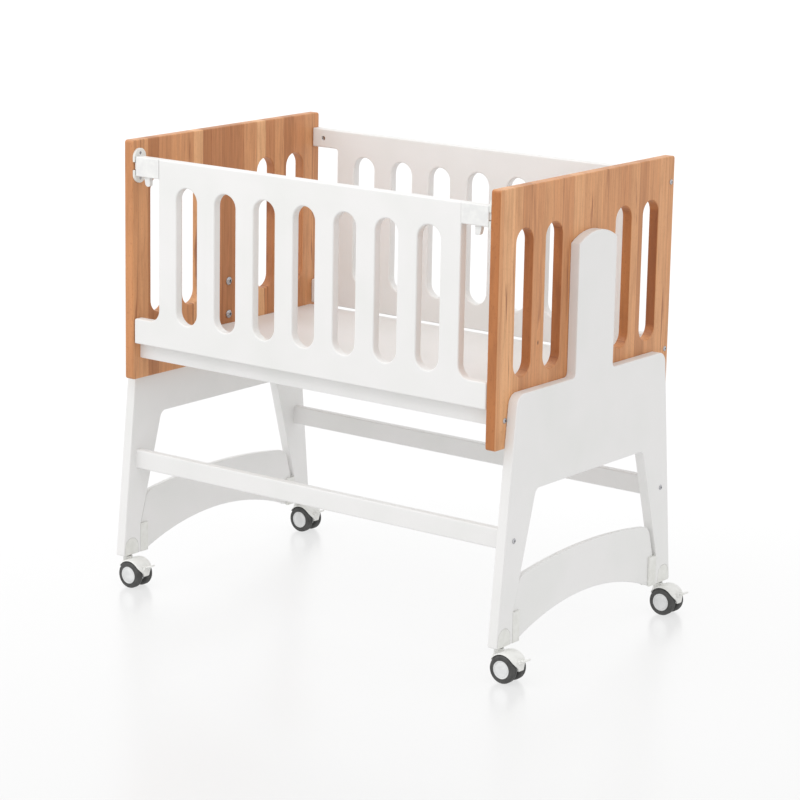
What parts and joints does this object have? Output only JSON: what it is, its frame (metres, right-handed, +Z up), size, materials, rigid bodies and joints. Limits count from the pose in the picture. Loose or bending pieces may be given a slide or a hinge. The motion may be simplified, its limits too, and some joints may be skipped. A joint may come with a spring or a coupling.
{
  "type": "baby crib",
  "caption": "Bedside crib with slatted wooden ends on leg frames, a front rail that unlatches and folds down, rocker arches and braked twin-wheel casters.",
  "frame": {"origin": "centre of the mattress board's top face", "axes": "+X along the crib to its right end, -Y towards the folding front rail, +Z up"},
  "size_m": [1.0534, 0.6234, 0.956],
  "materials": {
    "beech": "edge-glued beech staves, oiled",
    "white_lacquer": "satin white lacquer on wood",
    "latch_plastic": "fine satin moulding",
    "fitting_plastic": "satin moulding",
    "caster_plastic": "satin moulding",
    "hub_plastic": "satin moulding",
    "tyre_rubber": "matt",
    "caster_steel": "dull plated",
    "zinc_steel": "bright zinc",
    "spring_steel": "drawn wire"
  },
  "bodies": {
    "crib": {"back_base_beam": "white_lacquer", "back_rail": "white_lacquer", "back_stretcher": "white_lacquer", "barrel_nuts": "zinc_steel", "base_battens": "white_lacquer", "base_board": "white_lacquer", "caster_sockets": "fitting_plastic", "caster_stems": "caster_steel", "front_base_beam": "white_lacquer", "front_stretcher": "white_lacquer", "latch_keepers": "latch_plastic", "left_end_panel": "beech", "left_leg_frame": "white_lacquer", "left_rocker_arch": "white_lacquer", "leg_frame_bolts": "zinc_steel", "panel_bolts": "zinc_steel", "rail_hinge_pins": "zinc_steel", "right_end_panel": "beech", "right_leg_frame": "white_lacquer", "right_rocker_arch": "white_lacquer", "rocker_brackets": "fitting_plastic", "stretcher_bolts": "zinc_steel", "threaded_inserts": "zinc_steel", "wood_screws": "zinc_steel"},
    "front_rail": {"front_rail": "white_lacquer", "left_latch_housing": "latch_plastic", "right_latch_housing": "latch_plastic", "latch_housing_screws": "zinc_steel", "left_latch_spring": "spring_steel", "right_latch_spring": "spring_steel"},
    "left_latch": {"left_latch_bolt": "latch_plastic"},
    "right_latch": {"right_latch_bolt": "latch_plastic"},
    "front_left_caster": {"front_left_hood": "caster_plastic", "front_left_axle": "caster_steel"},
    "front_left_brake": {"front_left_brake_lever": "caster_plastic"},
    "front_left_outer_wheel": {"front_left_outer_hub": "hub_plastic", "front_left_outer_tyre": "tyre_rubber"},
    "front_left_inner_wheel": {"front_left_inner_hub": "hub_plastic", "front_left_inner_tyre": "tyre_rubber"},
    "back_left_caster": {"back_left_hood": "caster_plastic", "back_left_axle": "caster_steel"},
    "back_left_brake": {"back_left_brake_lever": "caster_plastic"},
    "back_left_outer_wheel": {"back_left_outer_hub": "hub_plastic", "back_left_outer_tyre": "tyre_rubber"},
    "back_left_inner_wheel": {"back_left_inner_hub": "hub_plastic", "back_left_inner_tyre": "tyre_rubber"},
    "front_right_caster": {"front_right_hood": "caster_plastic", "front_right_axle": "caster_steel"},
    "front_right_brake": {"front_right_brake_lever": "caster_plastic"},
    "front_right_outer_wheel": {"front_right_outer_hub": "hub_plastic", "front_right_outer_tyre": "tyre_rubber"},
    "front_right_inner_wheel": {"front_right_inner_hub": "hub_plastic", "front_right_inner_tyre": "tyre_rubber"},
    "back_right_caster": {"back_right_hood": "caster_plastic", "back_right_axle": "caster_steel"},
    "back_right_brake": {"back_right_brake_lever": "caster_plastic"},
    "back_right_outer_wheel": {"back_right_outer_hub": "hub_plastic", "back_right_outer_tyre": "tyre_rubber"},
    "back_right_inner_wheel": {"back_right_inner_hub": "hub_plastic", "back_right_inner_tyre": "tyre_rubber"}
  },
  "joints": [
    {"name": "front_rail_fold", "type": "hinge", "parent": "crib", "child": "front_rail", "pos_m": [0, -0.293, 0.022], "axis": [1, 0, 0], "range_deg": [0, 180]},
    {"name": "left_latch_slide", "type": "slide", "parent": "front_rail", "child": "left_latch", "axis": [1, 0, 0], "range_m": [0, 0.01], "stiffness_N_per_m": 400, "springref_m": -0.004, "deforming": ["left_latch_spring"]},
    {"name": "right_latch_slide", "type": "slide", "parent": "front_rail", "child": "right_latch", "axis": [-1, 0, 0], "range_m": [0, 0.01], "stiffness_N_per_m": 400, "springref_m": -0.004, "deforming": ["right_latch_spring"]},
    {"name": "front_left_swivel", "type": "hinge", "parent": "crib", "child": "front_left_caster", "pos_m": [-0.4835, -0.287, -0.461], "axis": [0, 0, 1], "continuous": true},
    {"name": "front_left_outer_roll", "type": "hinge", "parent": "front_left_caster", "child": "front_left_outer_wheel", "pos_m": [-0.4615, -0.287, -0.4995], "axis": [0, 1, 0], "continuous": true},
    {"name": "front_left_inner_roll", "type": "hinge", "parent": "front_left_caster", "child": "front_left_inner_wheel", "pos_m": [-0.4615, -0.287, -0.4995], "axis": [0, 1, 0], "continuous": true},
    {"name": "front_left_brake", "type": "hinge", "parent": "front_left_caster", "child": "front_left_brake", "pos_m": [-0.4305, -0.287, -0.4825], "axis": [0, 1, 0], "range_deg": [0, 18]},
    {"name": "back_left_swivel", "type": "hinge", "parent": "crib", "child": "back_left_caster", "pos_m": [-0.4835, 0.287, -0.461], "axis": [0, 0, 1], "continuous": true},
    {"name": "back_left_outer_roll", "type": "hinge", "parent": "back_left_caster", "child": "back_left_outer_wheel", "pos_m": [-0.4615, 0.287, -0.4995], "axis": [0, 1, 0], "continuous": true},
    {"name": "back_left_inner_roll", "type": "hinge", "parent": "back_left_caster", "child": "back_left_inner_wheel", "pos_m": [-0.4615, 0.287, -0.4995], "axis": [0, 1, 0], "continuous": true},
    {"name": "back_left_brake", "type": "hinge", "parent": "back_left_caster", "child": "back_left_brake", "pos_m": [-0.4305, 0.287, -0.4825], "axis": [0, 1, 0], "range_deg": [0, 18]},
    {"name": "front_right_swivel", "type": "hinge", "parent": "crib", "child": "front_right_caster", "pos_m": [0.4835, -0.287, -0.461], "axis": [0, 0, 1], "continuous": true},
    {"name": "front_right_outer_roll", "type": "hinge", "parent": "front_right_caster", "child": "front_right_outer_wheel", "pos_m": [0.5055, -0.287, -0.4995], "axis": [0, 1, 0], "continuous": true},
    {"name": "front_right_inner_roll", "type": "hinge", "parent": "front_right_caster", "child": "front_right_inner_wheel", "pos_m": [0.5055, -0.287, -0.4995], "axis": [0, 1, 0], "continuous": true},
    {"name": "front_right_brake", "type": "hinge", "parent": "front_right_caster", "child": "front_right_brake", "pos_m": [0.5365, -0.287, -0.4825], "axis": [0, 1, 0], "range_deg": [0, 18]},
    {"name": "back_right_swivel", "type": "hinge", "parent": "crib", "child": "back_right_caster", "pos_m": [0.4835, 0.287, -0.461], "axis": [0, 0, 1], "continuous": true},
    {"name": "back_right_outer_roll", "type": "hinge", "parent": "back_right_caster", "child": "back_right_outer_wheel", "pos_m": [0.5055, 0.287, -0.4995], "axis": [0, 1, 0], "continuous": true},
    {"name": "back_right_inner_roll", "type": "hinge", "parent": "back_right_caster", "child": "back_right_inner_wheel", "pos_m": [0.5055, 0.287, -0.4995], "axis": [0, 1, 0], "continuous": true},
    {"name": "back_right_brake", "type": "hinge", "parent": "back_right_caster", "child": "back_right_brake", "pos_m": [0.5365, 0.287, -0.4825], "axis": [0, 1, 0], "range_deg": [0, 18]}
  ]
}
